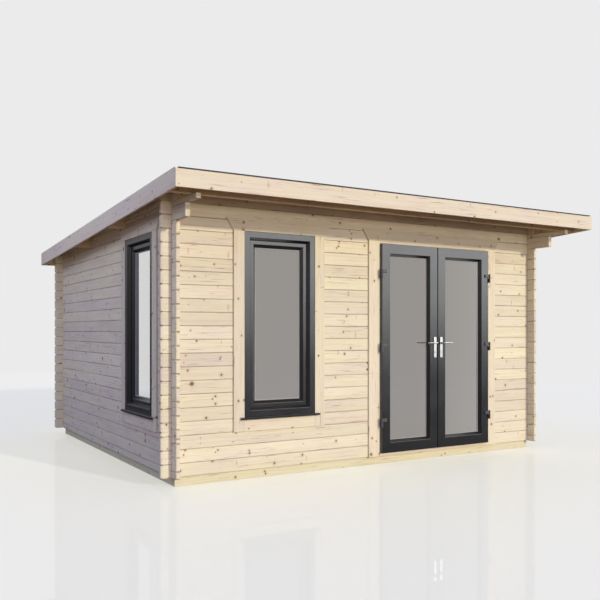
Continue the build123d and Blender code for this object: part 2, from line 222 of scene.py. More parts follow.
def knots(tree, along, across, tone, pitch, largest, share, squeeze=1.0):
    """Knots in one cell pattern: how far a point is from its knot, in knot radii, and where it lies.

    Cells are pitch[0] long and pitch[1] wide and shifted for every bar by its tone. Each has one knot,
    whose radius grows with the cell's random number above 1 - share, up to the largest. Squeeze
    shortens the distance across the grain, for a knot that is cut lengthwise.
    """
    cell_along = calc(tree, "DIVIDE", along, pitch[0])
    cell_across = plus(tree, calc(tree, "DIVIDE", across, pitch[1]), times(tree, tone, 137.0))
    cells = node(tree, "TexVoronoi", {"Vector": vector(tree, cell_along, cell_across), "Scale": 1.0,
                                      "Randomness": 0.95}, voronoi_dimensions="2D")
    place = node(tree, "SeparateXYZ", {0: cells.outputs["Position"]})
    chance = node(tree, "SeparateColor", {0: cells.outputs["Color"]}).outputs[0]
    off_along = times(tree, calc(tree, "SUBTRACT", cell_along, place.outputs[0]), pitch[0])
    off_across = times(tree, calc(tree, "SUBTRACT", cell_across, place.outputs[1]), pitch[1] * squeeze)
    reach = calc(tree, "SQRT", plus(tree, times(tree, off_along, off_along),
                                    times(tree, off_across, off_across)))
    radius = spread(tree, chance, 1.0 - share, 1.0, 0.0001, largest)
    return calc(tree, "DIVIDE", reach, radius), off_across


def softwood(name, pale, deep, blush, knotty=1.0):
    """Planed softwood that is solid through, so faces and sawn ends agree.

    Annual rings are powered sines of the distance from the heart, bent by slow noise and parted round
    the knots. Streaks are noise drawn out along the grain. Small knots are dark, large ones red-brown
    with a dark rim, and a few are cut lengthwise into faint marks across the grain. Pitch streaks run
    thin and long. Blush is a slow change of colour, from place to place and from bar to bar. Dirt and
    painted shade darken the joints.
    """
    material, tree, shader = new_material(name)
    sawn_from = node(tree, "Attribute", attribute_name="grain").outputs["Vector"]
    along, depth, across = node(tree, "SeparateXYZ", {0: sawn_from}).outputs
    bar = node(tree, "Attribute", attribute_name="tone")
    first, second, third = node(tree, "SeparateXYZ", {0: bar.outputs["Vector"]}).outputs
    small, small_off = knots(tree, along, across, first, pitch=(0.30, 0.050), largest=0.0085,
                             share=0.40 * knotty)
    large, large_off = knots(tree, along, across, second, pitch=(0.80, 0.110), largest=0.0140,
                             share=0.45 * knotty)
    spike = knots(tree, along, across, third, pitch=(0.36, 0.080), largest=0.0095,
                  share=0.25 * knotty, squeeze=0.28)[0]
    small_halo = spread(tree, small, 3.6, 1.0)
    large_halo = spread(tree, large, 3.4, 1.0)
    pushed = plus(tree, times(tree, small_off, small_halo), times(tree, large_off, large_halo))
    parted = calc(tree, "SUBTRACT", across, pushed)
    slow = stretched_noise(tree, times(tree, along, 1.7), depth, times(tree, across, 7.0), detail=4.0)
    streak = stretched_noise(tree, times(tree, along, 1.3), times(tree, depth, 40.0),
                             times(tree, parted, 60.0), detail=6.0, roughness=0.65, distortion=0.4)
    heart = calc(tree, "SQRT", plus(tree, times(tree, depth, depth), times(tree, parted, parted)))
    ring_spacing = 0.007
    ring = calc(tree, "SINE", plus(tree, times(tree, heart, 2 * math.pi / ring_spacing),
                                   times(tree, slow, 26.0)))
    ring = calc(tree, "POWER", spread(tree, ring, -1.0, 1.0), 3.0)
    figured = plus(tree, times(tree, spread(tree, streak, 0.45, 0.80), 0.8), times(tree, ring, 0.20))
    colour = tint(tree, figured, pale, deep)
    patch = spread(tree, plus(tree, slow, times(tree, second, 0.35)), 0.50, 0.98)
    colour = tint(tree, patch, colour, tint(tree, 1.0, colour, blush, "MULTIPLY"))
    pitch = stretched_noise(tree, times(tree, along, 4.5), times(tree, depth, 14.0),
                            times(tree, parted, 150.0), detail=2.0, distortion=0.5)
    gathered = plus(tree, pitch, times(tree, slow, 0.25))
    colour = stain(tree, colour, spread(tree, gathered, 0.76, 0.88), 0.7, (0.30, 0.15, 0.09, 1))
    colour = stain(tree, colour, spread(tree, spike, 1.3, 0.6), 0.32, (0.36, 0.17, 0.08, 1))
    colour = stain(tree, colour, spread(tree, large, 2.6, 0.9), 0.38, (0.50, 0.24, 0.12, 1))
    colour = stain(tree, colour, spread(tree, large, 1.2, 1.0), 0.80, (0.12, 0.05, 0.028, 1))
    colour = stain(tree, colour, spread(tree, large, 0.95, 0.7), 0.85, (0.33, 0.145, 0.07, 1))
    colour = stain(tree, colour, small_halo, 0.35, (0.42, 0.20, 0.10, 1))
    colour = stain(tree, colour, spread(tree, small, 1.2, 0.75), 0.9, (0.07, 0.032, 0.02, 1))
    shade = spread(tree, third, -0.5, 1.0, 0.84, 1.03)
    colour = tint(tree, 1.0, colour, vector(tree, shade, shade, shade), "MULTIPLY")
    # Dirt and painted shade: the wood darkens, patchily, towards the depth of each joint between bars
    joint_dirt_and_shade = times(tree, calc(tree, "POWER", bar.outputs["Alpha"], 1.6),
                 spread(tree, slow, 0.3, 0.7, 0.15, 0.75))
    colour = tint(tree, joint_dirt_and_shade, colour, (0.16, 0.085, 0.05, 1))
    height = calc(tree, "SUBTRACT", times(tree, streak, 0.6),
                  times(tree, spread(tree, small, 1.2, 0.8), 0.4))
    raised = node(tree, "Bump", {"Strength": 0.5, "Distance": 0.002, "Height": height}).outputs[0]
    plug(tree, shader, {"Base Color": colour, "Roughness": 0.6, "Specular IOR Level": 0.3,
                        "Normal": raised})
    return material


treated = softwood("treated_softwood", (0.85, 0.80, 0.60, 1), (0.74, 0.62, 0.38, 1),
                   (0.94, 1.0, 0.90, 1))
base_rng = np.random.default_rng(4)
bearer_ease = 0.003
bearer_wide = 0.060
base_low, base_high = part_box("base_bearers")
joist_low, joist_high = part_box("floor_joists")
bearer_height = (base_low.z, base_high.z)
bearers = []
for y in (base_low.y, base_high.y - bearer_wide):
    bearers.append(eased_bar("xyz", (base_low.x, base_high.x), (y, y + bearer_wide), bearer_height,
                             bearer_ease, base_rng))
for x in (base_low.x, base_high.x - bearer_wide):
    bearers.append(eased_bar("yxz", (joist_low.y, joist_high.y), (x, x + bearer_wide), bearer_height,
                             bearer_ease, base_rng))
piece_of_bars("treated_bearers", bearers, treated, ["base_bearers"])
joist_wide = 0.044
joist_count = 6
joists = []
for x in np.linspace(joist_low.x, joist_high.x - joist_wide, joist_count):
    joists.append(eased_bar("yxz", (joist_low.y, joist_high.y), (x, x + joist_wide), bearer_height,
                            bearer_ease, base_rng))
piece_of_bars("treated_joists", joists, treated, ["floor_joists"])


# Floor
# Planed tongue-and-groove boards lie across the joists, inside the walls, with a gap round the edge.
# They are secret-nailed, so no heads show.

floor_pine = softwood("floor_softwood", (0.82, 0.72, 0.54, 1), (0.68, 0.53, 0.34, 1),
                      (0.96, 0.92, 0.90, 1))
floor_rng = np.random.default_rng(11)
floor_ease = 0.0015
floor_count = 37
floor_low, floor_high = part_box("floor_boards")
floor_edges = np.linspace(floor_low.y, floor_high.y, floor_count + 1)
floor_boards = []
for near, far in zip(floor_edges[:-1], floor_edges[1:]):
    floor_boards.append(eased_bar("xzy", (floor_low.x, floor_high.x), (floor_low.z, floor_high.z),
                                  (near, far), floor_ease, floor_rng))
piece_of_bars("tongued_floor_boards", floor_boards, floor_pine, ["floor_boards"])


# Log walls
# Planed softwood logs, 44 mm thick, stacked on edge with V-joints along both faces and eased ends.
# The side courses lie half a log higher, and each log is notched on top for the one that crosses it.

log_pine = softwood("log_softwood", (0.89, 0.855, 0.65, 1), (0.77, 0.645, 0.43, 1),
                    (0.925, 0.885, 1.01, 1))
log_cover = 0.114
log_thick = 0.044
log_ease = 0.0068
log_end = (0.017, 0.006, 0.010)
hair = 0.00015
fit = 0.0003
base_top = 0.076
side_raise = 0.062
notch_long = log_cover - side_raise + hair
notch_side = side_raise + hair
slope = math.tan(math.radians(3.0))
front_courses, rear_courses, side_courses = 21, 19, 18
rear_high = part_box("rear_wall_logs")[1]
right_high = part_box("right_wall_logs")[1]
left_low, left_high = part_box("left_wall_lower_logs")
roof_rear_y = rear_high.y
roof_rear_z = rear_courses * log_cover + base_top
left_x, right_x = left_low.x, right_high.x
front_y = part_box("front_wall_lower_logs")[0].y
log_rng = np.random.default_rng(23)


def roof_line(y):
    """Height of the underside of the roof boards: a straight fall of three degrees to the back."""
    return roof_rear_z + (roof_rear_y - y) * slope


def roof_meets(height):
    """Where along Y the underside of the roof boards comes down to a height."""
    return roof_rear_y - (height - roof_rear_z) / slope


def log(axes, start, end, thick, level, top, notches=(), cut=(True, True), sawn=log_end, rosy=0.0):
    """One log. Each notch is (from, to, low, high): between those places it keeps only low to high.

    The stations are the ends, both sides of each notch, and the place where the roof line meets the
    log's top. Under the roof the high line is the lower of the log's own top and the roof line. Sawn is
    how far its ends are drawn in, and a rosy log is pinker and darker, as it comes from nearer the heart.
    """
    bottom, crown = level + hair, top - hair
    breaks = [start, end]
    for notch in notches:
        breaks += [notch[0], notch[0], notch[1], notch[1]]
    if axes == "yxz" and start < roof_meets(crown) < end:
        breaks.append(roof_meets(crown))
    u = np.sort(np.array(breaks))
    low, high = np.full(len(u), bottom), np.full(len(u), crown)
    before = np.append(u[0] - 1, u[:-1])
    after = np.append(u[1:], u[-1] + 1)
    probe = np.where(u == before, u + 1e-6, np.where(u == after, u - 1e-6, u))
    for near, far, notch_low, notch_high in notches:
        inside = (probe > near - 1e-7) & (probe < far + 1e-7)
        low[inside] = max(bottom, notch_low)
        high[inside] = min(crown, notch_high)
    under_roof = roof_line(u) if axes == "yxz" else roof_line(thick[1])
    high = np.minimum(high, under_roof - hair)
    bar = eased_bar(axes, u, thick, (bottom, crown), log_ease, log_rng, low, high, cut=cut, end=sawn,
                    joint=1.0)
    bar[4][:, 1:3] += (rosy, -rosy)
    return bar


def crossings(axes, over, under):
    """The notches of a log at both corners: the crossing wall's thickness, cut from the top or below."""
    near, far = ((left_x, right_x) if axes == "xyz" else (front_y, rear_high.y))
    places = ((near - fit, near + log_thick + fit), (far - log_thick - fit, far + fit))
    return [(start, end, under, over) for start, end in places]


def opening(piece, axis):
    """The span of an opening along one axis, taken from the unit that stands in it."""
    low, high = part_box(piece)
    return low[axis] - fit, high[axis] + fit


front_window = opening("front_window_frame", 0)
left_window = opening("left_window_frame", 1)
frame_low, frame_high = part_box("door_frame")
doorway = frame_low.x - fit, frame_high.x + fit
doorway_top = frame_high.z + fit
window_base = 0.532
window_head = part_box("front_window_frame")[1].z + fit
stub = 0.092
ends = (left_x - stub, right_x + stub)
front_thick = (front_y, front_y + log_thick)
rear_thick = (rear_high.y - log_thick, rear_high.y)
whole, left_end, right_end, neither = (True, True), (True, False), (False, True), (False, False)
walls = {place: [] for place in (
    "front_wall_lower", "front_wall_left", "front_wall_middle", "front_wall_right", "front_wall_top",
    "rear_wall", "left_wall_lower", "left_wall_front", "left_wall_rear", "left_wall_top", "right_wall")}
for course in range(front_courses):
    level = base_top + course * log_cover
    top = level + log_cover
    under = level + side_raise / 2 + hair if course in (0, front_courses - 1) else level
    corners = crossings("xyz", top - notch_long, under)
    over_openings = [(*front_window, window_head, top), (*doorway, doorway_top, top)]
    if level > doorway_top:
        row = [("front_wall_top", *ends, corners, whole, 0.0)]
    elif level > doorway_top - log_cover:
        row = [("front_wall_top", *ends, corners + over_openings, whole, 0.0)]
    else:
        row = [("front_wall_right", doorway[1], ends[1], corners[1:], right_end, 0.0)]
        if level < window_base - hair:
            row.append(("front_wall_lower", ends[0], doorway[0], corners[:1], left_end, 0.0))
        else:
            row.append(("front_wall_left", ends[0], front_window[0], corners[:1], left_end, 0.35))
            row.append(("front_wall_middle", front_window[1], doorway[0], [], neither, 0.0))
    for place, start, end, notches, cut, rosy in row:
        walls[place].append(log("xyz", start, end, front_thick, level, top, notches, cut, rosy=rosy))
for course in range(rear_courses):
    level = base_top + course * log_cover
    under = level + side_raise / 2 + hair if course == 0 else level
    corners = crossings("xyz", level + log_cover - notch_long, under)
    walls["rear_wall"].append(log("xyz", *ends, rear_thick, level, level + log_cover, corners))

# The side walls add a starter log, stepped corbels under the front purlin, and fillers under the roof
purlin_thick = 0.044
purlin_tall = 0.108
purlin_places = (front_y - 0.412, front_y + 1.140, front_y + 2.350)
side_ends = (left_low.y, left_high.y)
corbel_reaches = (front_y - 0.289, front_y - 0.497)
corbel_end = (0.004, 0.003, 0.003)
thin_end = 0.010
for side, x in (("left", left_x), ("right", right_x - log_thick)):
    thick = (x, x + log_thick)
    pockets = [(y - fit, y + purlin_thick + fit, roof_line(y) - purlin_tall - fit)
               for y in purlin_places[1:]]
    lower = walls["left_wall_lower"] if side == "left" else walls["right_wall"]
    upper = walls["left_wall_top"] if side == "left" else walls["right_wall"]
    starter_top = base_top + side_raise
    starter_notches = crossings("yxz", starter_top - side_raise / 2 - hair, base_top)
    lower.append(log("yxz", *side_ends, thick, base_top, starter_top, starter_notches))
    for course in range(side_courses):
        level = starter_top + course * log_cover
        top = level + log_cover
        corners = crossings("yxz", top - notch_side, level)
        if side == "right" or top < window_base:
            row = [(lower, *side_ends, corners, whole)]
        elif level < window_base:
            row = [(lower, *side_ends, corners + [(*left_window, level, window_base)], whole)]
        elif top < window_head:
            row = [(walls["left_wall_front"], side_ends[0], left_window[0], corners[:1], left_end),
                   (walls["left_wall_rear"], left_window[1], side_ends[1], corners[1:], right_end)]
        else:
            row = [(upper, *side_ends, corners + [(*left_window, window_head, top)], whole)]
        for logs, start, end, notches, cut in row:
            logs.append(log("yxz", start, end, thick, level, top, notches, cut))
    level = starter_top + side_courses * log_cover
    top = level + log_cover
    pocket_notches = [(near, far, level, pocket_low) for near, far, pocket_low in pockets]
    corners = crossings("yxz", top - notch_side, level)[:1]
    upper.append(log("yxz", corbel_reaches[0], side_ends[1], thick, level, top,
                     corners + pocket_notches, sawn=corbel_end))
    corbel_top = roof_line(purlin_places[0]) - purlin_tall - hair
    first, second = pockets[0][:2]
    upper.append(log("yxz", corbel_reaches[1], first, thick, top, corbel_top, cut=left_end,
                     sawn=corbel_end))
    upper.append(log("yxz", second, roof_meets(top + thin_end), thick, top, corbel_top, cut=neither))
    filler_top = corbel_top + log_cover
    last_lap = base_top + (front_courses - 1) * log_cover + side_raise / 2
    front_notch = [(front_y - fit, front_y + log_thick + fit, corbel_top, last_lap)]
    upper.append(log("yxz", side_ends[0], first, thick, corbel_top, filler_top, front_notch, left_end))
    upper.append(log("yxz", second, roof_meets(corbel_top + thin_end), thick, corbel_top, filler_top,
                     cut=neither))
for place, logs in walls.items():
    piece_of_bars(f"planed_{place}_logs", logs, log_pine, [f"{place}_logs"])


# Windows
# Welded frames foiled anthracite: a fixed frame with a bevelled inner edge, and a sash with its bead
# and a double-glazed unit. The mitres are welded, and black gaskets seal the glass on both faces.

def mitred(rectangle, profile, radius):
    """A closed frame: a profile carried round a rectangle, its corners mitred.

    The profile is in (inset, depth): inset from the rectangle's edges, depth into the wall. Round the
    rectangle go its four corners, each moved inwards by the profile's inset along both edges.
    """
    left, right, low, high = rectangle
    section = rounded_section(profile, radius)
    inset, depth = section[None, :, 0], section[None, :, 1]
    side = np.array([-1, 1, 1, -1])[:, None]
    end = np.array([-1, -1, 1, 1])[:, None]
    across = (left + right) / 2 + side * ((right - left) / 2 - inset)
    up = (low + high) / 2 + end * ((high - low) / 2 - inset)
    points = np.stack([across, np.repeat(depth, 4, 0), up], 2)
    count = len(section)
    here, there = np.arange(count)[None, :], (np.arange(count)[None, :] + 1) % count
    mitre = np.arange(4)[:, None] * count
    following = (np.arange(4)[:, None] + 1) % 4 * count
    quads = np.stack([mitre + here, mitre + there, following + there, following + here], 2)
    return points.reshape(-1, 3), quads.reshape(-1, 4)


def framed(rectangle, profile, radius, carry):
    """A mitred frame, carried from its local place to its wall."""
    points, quads = mitred(rectangle, profile, radius)
    return carry(points), quads


def outwards(points, faces):
    """Turns a closed mesh's faces outwards, so that the volume under them comes out positive."""
    a, b, c, d = (points[faces[:, corner]] for corner in range(4))
    volume = (np.cross(b - a, c - a) * a).sum() + (np.cross(c - a, d - a) * a).sum()
    return faces if volume > 0 else faces[:, ::-1]


def piece_of(name, parts, material, nodes=(), body="root"):
    """Joins closed meshes into one piece that rides on a body."""
    starts = np.cumsum([0] + [len(points) for points, quads in parts])
    faces = np.concatenate([outwards(*part) + start for part, start in zip(parts, starts)])
    mesh = bpy.data.meshes.new(name)
    mesh.from_pydata(np.concatenate([points for points, quads in parts]), [], faces.tolist())
    set_in_place(name, mesh, material, nodes, body)


def refinish(name, material):
    """Gives a CAD node that stays its finish."""
    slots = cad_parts[name].data.materials
    slots.clear()
    slots.append(material)


def coated(name, colour, roughness, speckle=0.06, bump=0.15, scale=900.0, gloss=0.5):
    """A coated or foiled surface: noise lightens and darkens the colour a little and raises the face."""
    material, tree, shader = new_material(name)
    place = node(tree, "TexCoord").outputs["Object"]
    fine = node(tree, "TexNoise", {"Vector": place, "Scale": scale, "Detail": 2.0}).outputs[0]
    broad = node(tree, "TexNoise", {"Vector": place, "Scale": 3.0, "Detail": 3.0}).outputs[0]
    varied = plus(tree, times(tree, fine, speckle), times(tree, broad, speckle))
    factor = plus(tree, varied, 1.0 - speckle)
    varied_colour = tint(tree, 1.0, colour, vector(tree, factor, factor, factor), "MULTIPLY")
    worn = spread(tree, broad, 0.3, 0.7, roughness - 0.03, roughness + 0.03)
    raised = node(tree, "Bump", {"Strength": bump, "Distance": 0.0004, "Height": fine}).outputs[0]
    plug(tree, shader, {"Base Color": varied_colour, "Roughness": worn, "Specular IOR Level": gloss,
                        "Normal": raised})
    return material


anthracite = coated("anthracite_foil", (0.012, 0.0125, 0.0135, 1), roughness=0.23, gloss=0.85)
gasket_rubber = coated("gasket_rubber", (0.012, 0.012, 0.012, 1), roughness=0.7)
grey_rubber = coated("grey_bead_seal", (0.34, 0.34, 0.34, 1), roughness=0.6)

# Solar-control glass is a grey mirror face on, and a paler one at a glance
glazing, glass_tree, glass_shader = new_material("solar_glazing")
facing = node(glass_tree, "LayerWeight", {"Blend": 0.5}).outputs["Facing"]
glass_colour = tint(glass_tree, spread(glass_tree, facing, 0.25, 0.72), (0.350, 0.337, 0.325, 1),
                    (0.90, 0.905, 0.87, 1))
plug(glass_tree, glass_shader, {"Base Color": glass_colour, "Metallic": 0.8, "Roughness": 0.0})

window_width = 0.727
face_width, bevel, proud = 0.054, 0.022, 0.014
frame_inside = 0.064
sash_setback = 0.033
weld_round, seal_round = 0.0022, 0.0008
frame_profile = [(0, -proud), (face_width, -proud), (face_width + bevel, sash_setback - proud),
                 (frame_inside, sash_setback - proud), (frame_inside, 0.056), (0, 0.056)]
sash_profile = [(0.0643, 0.0193), (0.107, 0.0193), (0.135, 0.0453), (0.123, 0.0455),
                (0.123, 0.0696), (0.135, 0.0696), (0.135, 0.0793), (0.0643, 0.0793)]
outer_gasket = [(0.1325, 0.0425), (0.1425, 0.0440), (0.1430, 0.0454), (0.1325, 0.0454)]
inner_gasket = [(0.1325, 0.0697), (0.1390, 0.0697), (0.1385, 0.0715), (0.1325, 0.0725)]
window_low, window_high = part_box("front_window_frame")
window_rectangle = (-window_width / 2, window_width / 2, window_low.z, window_high.z)


def on_front(centre):
    """Carries local (across, depth, up) points onto the front wall."""
    return lambda points: points + np.array([centre, front_y, 0])


def on_left(centre):
    """Carries local points onto the left wall: a quarter turn, so that depth runs along +X."""
    return lambda points: np.stack([points[:, 1] + left_x, centre - points[:, 0], points[:, 2]], 1)


window_sides = {
    "front": on_front(sum(front_window) / 2),
    "left": on_left(sum(left_window) / 2),
}
for wall, carry in window_sides.items():
    window_parts = [("welded_frame", frame_profile, weld_round, anthracite, [f"{wall}_window_frame"]),
                    ("welded_sash", sash_profile, weld_round, anthracite, [f"{wall}_window_sash"]),
                    ("gaskets", inner_gasket, seal_round, gasket_rubber, []),
                    ("bead_seal", outer_gasket, seal_round, grey_rubber, [])]
    for part, profile, radius, material, nodes in window_parts:
        piece_of(f"{wall}_window_{part}", [framed(window_rectangle, profile, radius, carry)], material,
                 nodes)
    refinish(f"{wall}_window_glass", glazing)
    refinish(f"{wall}_window_sill", anthracite)


# Boards round windows and doors
# Planed boards stand beside each opening and a splayed board lies over it, screwed to the logs.
# They cover the cut ends of the logs, with a narrow board under each window's sill.

trim_pine = softwood("trim_softwood", (0.865, 0.825, 0.635, 1), (0.76, 0.645, 0.435, 1),
                     (0.95, 0.90, 0.99, 1))
trim_rng = np.random.default_rng(31)
trim_thick = 0.018
trim_ease = 0.002
trim_face = (-trim_thick, -fit)
header_low = 2.154
header_tall = 0.108
header_high = header_low + header_tall
splay = 0.072
zinc, zinc_tree, zinc_shader = new_material("zinc_plated_screws")
plug(zinc_tree, zinc_shader, {"Base Color": (0.62, 0.56, 0.42, 1), "Metallic": 1.0, "Roughness": 0.38})


def ringed(points):
    """Closes rings of points into a solid: a quad between neighbours, and both ends filled.

    A flat end is filled with strips of four points, two from each side of the ring.
    """
    count, sides = points.shape[:2]
    ring = np.arange(count - 1)[:, None] * sides
    here, there = ring + np.arange(sides)[None, :], ring + (np.arange(sides)[None, :] + 1) % sides
    quads = np.stack([here, there, there + sides, here + sides], 2).reshape(-1, 4)
    step = np.arange(sides // 2 - 1)
    cap = np.stack([step, step + 1, sides - 2 - step, sides - 1 - step], 1)
    return points.reshape(-1, 3), np.concatenate([quads, cap[:, ::-1], cap + (count - 1) * sides])


def turned(profile, centre, axis, sides=16):
    """A turned shape: a ring of equal angles for each (radius, height), heights along the axis."""
    radius, height = (line[:, None] for line in np.array(profile, float).T)
    angle = np.linspace(0, 2 * math.pi, sides, endpoint=False)[None, :]
    points = np.empty((len(radius), sides, 3))
    points[:, :, axis] = np.repeat(height, sides, 1)
    points[:, :, (axis + 1) % 3] = radius * np.cos(angle)
    points[:, :, (axis + 2) % 3] = radius * np.sin(angle)
    return ringed(points + np.array(centre))


def boards_round(half, width, foot):
    """The local bars of the boards round an opening: (axes, stations, thickness, width, lean)."""
    outer = half + width
    return [("xyz", (-outer, outer), trim_face, (header_low, header_high), splay),
            ("zyx", (foot, header_low - fit), trim_face, (-outer, -half), 0.0),
            ("zyx", (foot, header_low - fit), trim_face, (half, outer), 0.0)]


def trim_piece(name, bars, carry, nodes, rosy=0.0, ruddy_and_painted_shade=0.0):
    """Makes the boards in local places and carries them to their wall.

    The left board may be pinker and darker, by rosy. The board over the opening may be redder and
    darker by its own amount, partly as its own tone and partly as painted shade from the eaves.
    """
    made = []
    for axes, stations, face, width, lean in bars:
        points, *rest = eased_bar(axes, stations, face, width, trim_ease, trim_rng, lean=lean)
        made.append((carry(points), *rest))
    # Painted shade: the board over the opening is darkened as well as reddened, for the shade under the
    # eaves
    made[0][4][:, 1:3] += (ruddy_and_painted_shade / 2, -ruddy_and_painted_shade)
    made[1][4][:, 1:3] += (rosy / 2, -rosy)
    piece_of_bars(name, made, trim_pine, nodes)


def trim_screws(name, half, width, carry):
    """Countersunk screws down the middle of the side boards and along the board over them."""
    screw = [(0.0038, 0.002), (0.0040, -0.0002), (0.0037, -0.0005), (0.0017, -0.0005), (0.0013, 0.0004)]
    board_middle, header_middle = half + width / 2, header_low + header_tall / 2
    heights = np.linspace(0.50, 2.06, 5)
    places = [(side * board_middle, height) for side in (-1, 1) for height in heights]
    places += [(across, header_middle) for across in np.linspace(-half, half, 4)]
    heads = [turned(screw, (across, -trim_thick, up), axis=1) for across, up in places]
    piece_of(name, [(carry(points), quads) for points, quads in heads], zinc)


window_trim = 0.103
door_trim = 0.128
apron = (0.416, 0.5318)
window_boards = boards_round(window_width / 2 + fit, window_trim, apron[0])
window_boards.append(("xyz", (-window_width / 2, window_width / 2), trim_face, apron, 0.0))
for wall, carry in window_sides.items():
    trim_piece(f"{wall}_window_boards", window_boards, carry, [f"{wall}_window_trim"], rosy=0.8)
    trim_screws(f"{wall}_window_board_screws", window_width / 2, window_trim, carry)
door_low, door_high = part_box("door_trim")
door_x = (door_low.x + door_high.x) / 2
to_door = on_front(door_x)
door_inner = 0.711
door_foot = base_top + hair
door_boards = boards_round(door_inner, door_trim, door_foot)
# The door's head board is darker, partly its own tone and partly painted shade from the eaves
trim_piece("door_boards", door_boards, to_door, ["door_trim"], ruddy_and_painted_shade=0.9)
trim_screws("door_board_screws", door_inner, door_trim, to_door)


# Door frame and threshold
# The timber frame stands in the doorway with a collar out to the face of the boards, where the leaves
# close on it. The threshold is a planed board between the posts.

frame_timber = softwood("frame_softwood", (0.88, 0.79, 0.63, 1), (0.76, 0.61, 0.42, 1),
                        (0.95, 0.92, 0.95, 1), knotty=0.6)
frame_rng = np.random.default_rng(37)
frame_ease = 0.0012
threshold_ease = 0.003
frame_half_inner = 0.691
frame_half_outer = 0.760
head_inner = 2.115
post_depth = (-0.017, log_thick)
rebate_depth = (0.0, log_thick)
collar_edge = door_inner - fit
collar_top = header_low - fit
frame_bars = []
for side in (-1, 1):
    collar = sorted((side * frame_half_inner, side * collar_edge))
    rebate = sorted((side * collar_edge, side * frame_half_outer))
    frame_bars.append(("zyx", (door_foot, collar_top), post_depth, collar))
    frame_bars.append(("zyx", (door_foot, frame_high.z), rebate_depth, rebate))
frame_bars.append(("xyz", (-frame_half_inner, frame_half_inner), post_depth, (head_inner, collar_top)))
frame_bars.append(("xyz", (-collar_edge, collar_edge), rebate_depth, (header_low, frame_high.z)))
lining = []
for axes, stations, face, width in frame_bars:
    points, *rest = eased_bar(axes, stations, face, width, frame_ease, frame_rng)
    lining.append((to_door(points), *rest))
piece_of_bars("door_lining", lining, frame_timber, ["door_frame"])
threshold_low, threshold_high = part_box("door_threshold")
threshold = eased_bar("xyz", (threshold_low.x, threshold_high.x), (threshold_low.y, threshold_high.y),
                      (threshold_low.z, threshold_high.z), threshold_ease, frame_rng)
piece_of_bars("door_threshold_board", [threshold], frame_timber, ["door_threshold"])


# Door leaves
# Two outward-opening leaves of welded profile, foiled anthracite, each with a flange that laps the
# frame, a bevelled bead and a double-glazed unit held between black gaskets.

leaf_outer_gasket = [(0.1185, -0.0168), (0.1260, -0.0154), (0.1265, -0.0139), (0.1185, -0.0139)]
leaf_inner_gasket = [(0.1185, 0.0103), (0.1250, 0.0103), (0.1245, 0.0121), (0.1185, 0.0131)]
leaf_seal = [(0.002, -0.0219), (0.013, -0.0219), (0.013, -0.0174), (0.002, -0.0174)]
leaf_profile = [(0, -0.050), (0.097, -0.050), (0.121, -0.014), (0.109, -0.0137), (0.109, 0.0103),
                (0.121, 0.0103), (0.121, 0.020), (0.020, 0.020), (0.020, -0.022), (0, -0.022)]
leaf_round = 0.0025
for side in ("left", "right"):
    leaf_low, leaf_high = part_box(f"{side}_door_leaf")
    leaf_rectangle = (leaf_low.x - door_x, leaf_high.x - door_x, leaf_low.z, leaf_high.z)
    body = f"{side}_leaf"
    seals = [framed(leaf_rectangle, profile, seal_round, to_door)
             for profile in (leaf_inner_gasket, leaf_seal)]
    piece_of(f"{side}_welded_leaf", [framed(leaf_rectangle, leaf_profile, leaf_round, to_door)],
             anthracite, [f"{side}_door_leaf"], body)
    piece_of(f"{side}_leaf_gaskets", seals, gasket_rubber, (), body)
    piece_of(f"{side}_leaf_bead_seal", [framed(leaf_rectangle, leaf_outer_gasket, seal_round, to_door)],
             grey_rubber, (), body)
    refinish(f"{side}_door_glass", glazing)


# Hinges
# Three lift-off flag hinges to a leaf: a flag and knuckle on the leaf, and a knuckle, pin and leg on
# the frame. Die-cast, powder-coated dark grey, with a cap over each flag.

hinge_coat = coated("hinge_powder_coat", (0.085, 0.088, 0.092, 1), roughness=0.36, speckle=0.1,
                    bump=0.3, scale=1400.0)
for name in ("left_door_hinge_flags", "right_door_hinge_flags", "door_frame_knuckles"):
    refinish(name, hinge_coat)
cap_rng = np.random.default_rng(53)
cap_ease = 0.003
cap_half_height = 0.0155
cap_heights = (0.4285, 1.1485, 1.8625)
cap_depth = (leaf_low.y - 0.0105, leaf_low.y - 0.0003)
for side, outer, inner in (("left", 0.0225, 0.0725), ("right", 1.3795, 1.4295)):
    flag_caps = [eased_bar("xyz", (outer, inner), cap_depth,
                           (middle - cap_half_height, middle + cap_half_height), cap_ease, cap_rng)
                 for middle in cap_heights]
    piece_of_bars(f"{side}_hinge_flag_caps", flag_caps, hinge_coat, (), f"{side}_leaf")


# Handles
# A lever on a long plate on each face of both leaves, pointing away from the meeting stiles.
# Brushed stainless steel, with a key cylinder below the spindle.

def brushed(name, colour, roughness):
    """Brushed steel: noise drawn out along the brushing varies the roughness and the height."""
    material, tree, shader = new_material(name)
    place = node(tree, "TexCoord").outputs["Object"]
    drawn_out = node(tree, "Mapping", {"Vector": place, "Scale": (1.0, 1.0, 0.04)}).outputs[0]
    lines = node(tree, "TexNoise", {"Vector": drawn_out, "Scale": 2500.0, "Detail": 2.0}).outputs[0]
    worn = spread(tree, lines, 0.3, 0.7, roughness - 0.05, roughness + 0.08)
    raised = node(tree, "Bump", {"Strength": 0.1, "Distance": 0.0002, "Height": lines}).outputs[0]
    plug(tree, shader, {"Base Color": colour, "Metallic": 1.0, "Roughness": worn, "Normal": raised})
    return material


